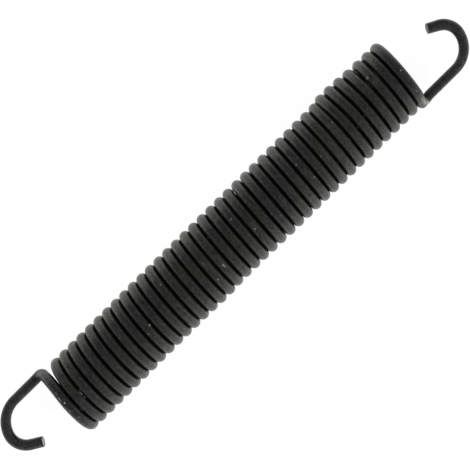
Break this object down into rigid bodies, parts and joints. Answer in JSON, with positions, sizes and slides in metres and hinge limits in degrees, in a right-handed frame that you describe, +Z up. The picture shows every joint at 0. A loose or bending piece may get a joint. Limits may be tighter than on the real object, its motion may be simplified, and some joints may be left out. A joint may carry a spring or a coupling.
{
  "type": "extension spring",
  "caption": "Close-wound extension spring of round black steel wire, with an open hook bent out of the wire at each end.",
  "frame": {"origin": "under the middle of the spring, on the surface that the coil lies on", "axes": "+X along the coil's axis towards the hook whose leg is on the -Y side, +Z up from the surface that the coil lies on"},
  "size_m": [0.16, 0.0221, 0.0203],
  "materials": {
    "spring_steel": "matte black, oiled and blued spring steel with a lighter sheen at its edges and bare light-grey cut ends"
  },
  "bodies": {
    "root": {"spring_wire": "spring_steel"}
  },
  "joints": []
}
